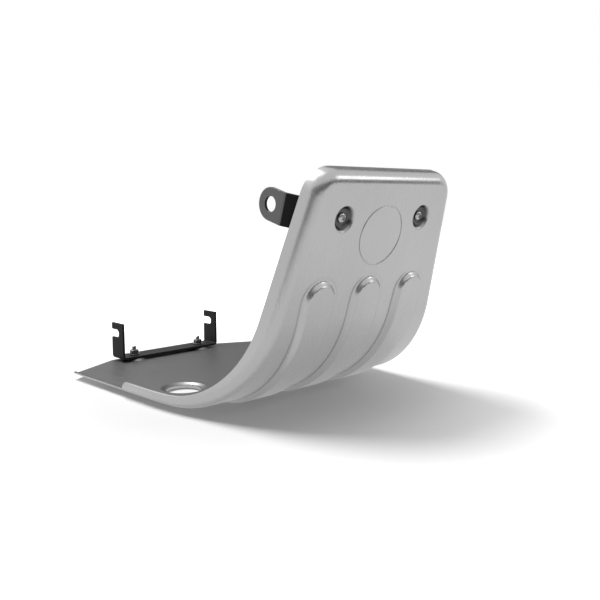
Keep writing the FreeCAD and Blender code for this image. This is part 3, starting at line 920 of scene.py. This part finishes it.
def product(tree, a, b):
    node = new_node(tree, "ShaderNodeMath", operation="MULTIPLY")
    tree_link(tree, a, node.inputs[0])
    tree_link(tree, b, node.inputs[1])
    return node.outputs[0]


def plain(name, shade, roughness, gloss):
    """A plain grey material and its surface shader."""
    material = bpy.data.materials.new(name)
    material.use_nodes = True
    surface = material.node_tree.nodes["Principled BSDF"]
    surface.inputs["Base Color"].default_value = (shade, shade, shade, 1)
    surface.inputs["Roughness"].default_value = roughness
    surface.inputs["Specular IOR Level"].default_value = gloss
    return material, surface


def pale_floor(s):
    """Floor that keeps the shadow near the part, and turns white away from it and in reflections."""
    material, surface = plain("studio_floor", 0.8, 0.9, 0.1)
    t = material.node_tree
    surface.inputs["Emission Color"].default_value = (1, 1, 1, 1)
    place = new_node(t, "ShaderNodeTexCoord").outputs["Object"]
    away = new_node(t, "ShaderNodeVectorMath", operation="LENGTH")
    tree_link(t, place, away.inputs[0])
    from_shadow = new_node(t, "ShaderNodeVectorMath", operation="DISTANCE")
    from_shadow.inputs[1].default_value = (-0.06, 0, 0)
    tree_link(t, place, from_shadow.inputs[0])
    fade = ranged(t, from_shadow.outputs["Value"], (s.clear_from, s.clear_to, s.lift, 1.0),
                  interpolation_type="SMOOTHSTEP")
    tree_link(t, product(t, seen_directly(t), fade), surface.inputs["Emission Strength"])
    # Painted shade in reflections: near the part, the floor's reflected white drops to the shaded share.
    near = ranged(t, away.outputs["Value"], (0.1, 0.35, s.shaded * s.mirrored, s.mirrored))
    white = new_node(t, "ShaderNodeEmission")
    both = new_node(t, "ShaderNodeMixShader")
    mirrored = seen_directly(t, "Is Glossy Ray", "Is Transmission Ray")
    tree_link(t, product(t, mirrored, near), both.inputs["Fac"])
    tree_link(t, surface.outputs["BSDF"], both.inputs[1])
    tree_link(t, white.outputs["Emission"], both.inputs[2])
    tree_link(t, both.outputs["Shader"], t.nodes["Material Output"].inputs["Surface"])
    return material


def backdrop(s):
    """Soft surroundings that are white where they are seen."""
    world = bpy.data.worlds.new("studio")
    world.use_nodes = True
    t = world.node_tree
    t.nodes["Background"].inputs["Color"].default_value = (1, 1, 1, 1)
    level = ranged(t, seen_directly(t), (0.0, 1.0, s.sky, 1.0))
    tree_link(t, level, t.nodes["Background"].inputs["Strength"])
    return world


def on_stage(name, b, material):
    """A piece of the studio, which isn't part of the model."""
    obj = mesh_object(name, b)
    obj.data.materials.append(material)
    return obj


class SKIDPLATE_OT_stage(bpy.types.Operator):
    """Pale floor, dark cards, soft lamps and the camera"""
    bl_idname = "skidplate.stage"
    bl_label = "Stage"

    def execute(self, context):
        s = context.scene.skid_studio
        b = bmesh.new()
        b.faces.new([b.verts.new((x, y, 0)) for x, y in ((-4, -4), (4, -4), (4, 4), (-4, 4))])
        on_stage("studio_floor", b, pale_floor(s))
        black = plain("studio_card", s.card, 1.0, 0.0)[0]

        # Two walls behind the camera and to its right: along its heading, across it, and their height.
        heading = Vector((-math.sin(s.turn), math.cos(s.turn), 0))
        beside = Vector((heading.y, -heading.x, 0))
        corners = [(heading * along + beside * across, up)
                   for along, across, up in ((-1.15, -0.6, 0.7), (-1.15, 1.2, 0.7), (0.28, 1.92, 0.45))]
        b = bmesh.new()
        low = [b.verts.new(p + Vector((0, 0, 0.001))) for p, up in corners]
        high = [b.verts.new(p + Vector((0, 0, up))) for p, up in corners]
        for k in (0, 1):
            b.faces.new((low[k], low[k + 1], high[k + 1], high[k]))
        on_stage("studio_card", b, black).visible_camera = False

        # A flag high behind the part, which only the gloss of the top flange shows.
        middle, aim = Vector((1.1, 0.57, 1.02)), Vector((0.70, 0.516, 0.51)).normalized()
        flat = aim.cross(Vector((0, 0, 1))).normalized()
        steep = flat.cross(aim)
        b = bmesh.new()
        b.faces.new([b.verts.new(middle + flat * 0.6 * i + steep * 0.38 * j)
                     for i, j in ((-1, -1), (1, -1), (1, 1), (-1, 1))])
        flag = on_stage("studio_flag", b, black)
        flag.visible_camera = flag.visible_diffuse = flag.visible_shadow = False

        context.scene.world = backdrop(s)
        lamp("key", s.key, 1.1, (-0.35, 0.75, 1.6), (0, -0.05, 0.0))
        lamp("side", s.side, 0.35, (1.06, -1.14, 0.76), (0, -0.2, 0.2))
        lamp("top", s.top, 0.5, (-0.15, -0.2, 1.6), (0, -0.1, 0.1))
        data = bpy.data.cameras.new("camera")
        data.sensor_width = 36
        data.lens = s.focal
        camera = bpy.data.objects.new("camera", data)
        camera.location = (-0.5961, -0.6829, 0.2269)
        camera.rotation_euler = (math.pi / 2 - s.dip, 0, s.turn)
        context.scene.collection.objects.link(camera)
        context.scene.camera = camera
        context.scene.view_settings.view_transform = "Standard"
        return {"FINISHED"}


class SKIDPLATE_PT_panel(bpy.types.Panel):
    """Lists the pieces and the stage"""
    bl_idname = "SKIDPLATE_PT_panel"
    bl_label = "Skid plate"
    bl_space_type = "VIEW_3D"
    bl_region_type = "UI"
    bl_category = "Skid plate"

    def draw(self, context):
        for cls in OPERATORS:
            self.layout.operator(cls.bl_idname)
        for name in SETTINGS:
            box = self.layout.box()
            group = getattr(context.scene, name)
            for key in group.bl_rna.properties.keys():
                if key not in {"rna_type", "name"}:
                    box.prop(group, key)


SETTINGS = {"skid_shape": PressedShape, "skid_shell": ShellFinish, "skid_steel": SteelFinish,
            "skid_fasteners": FastenerSizes, "skid_studio": StudioSettings}
OPERATORS = (SKIDPLATE_OT_shell, SKIDPLATE_OT_brackets, SKIDPLATE_OT_bolts, SKIDPLATE_OT_nuts,
             SKIDPLATE_OT_stage)


def register():
    for cls in tuple(SETTINGS.values()) + OPERATORS + (SKIDPLATE_PT_panel,):
        bpy.utils.register_class(cls)
    for name, cls in SETTINGS.items():
        setattr(bpy.types.Scene, name, PointerProperty(type=cls))


def unregister():
    for name in SETTINGS:
        delattr(bpy.types.Scene, name)
    for cls in (SKIDPLATE_PT_panel,) + OPERATORS + tuple(SETTINGS.values()):
        bpy.utils.unregister_class(cls)


def main():
    register()
    bpy.ops.skidplate.shell()
    bpy.ops.skidplate.brackets()
    bpy.ops.skidplate.bolts()
    bpy.ops.skidplate.nuts()
    bpy.ops.skidplate.stage()


if __name__ == "__main__":
    main()
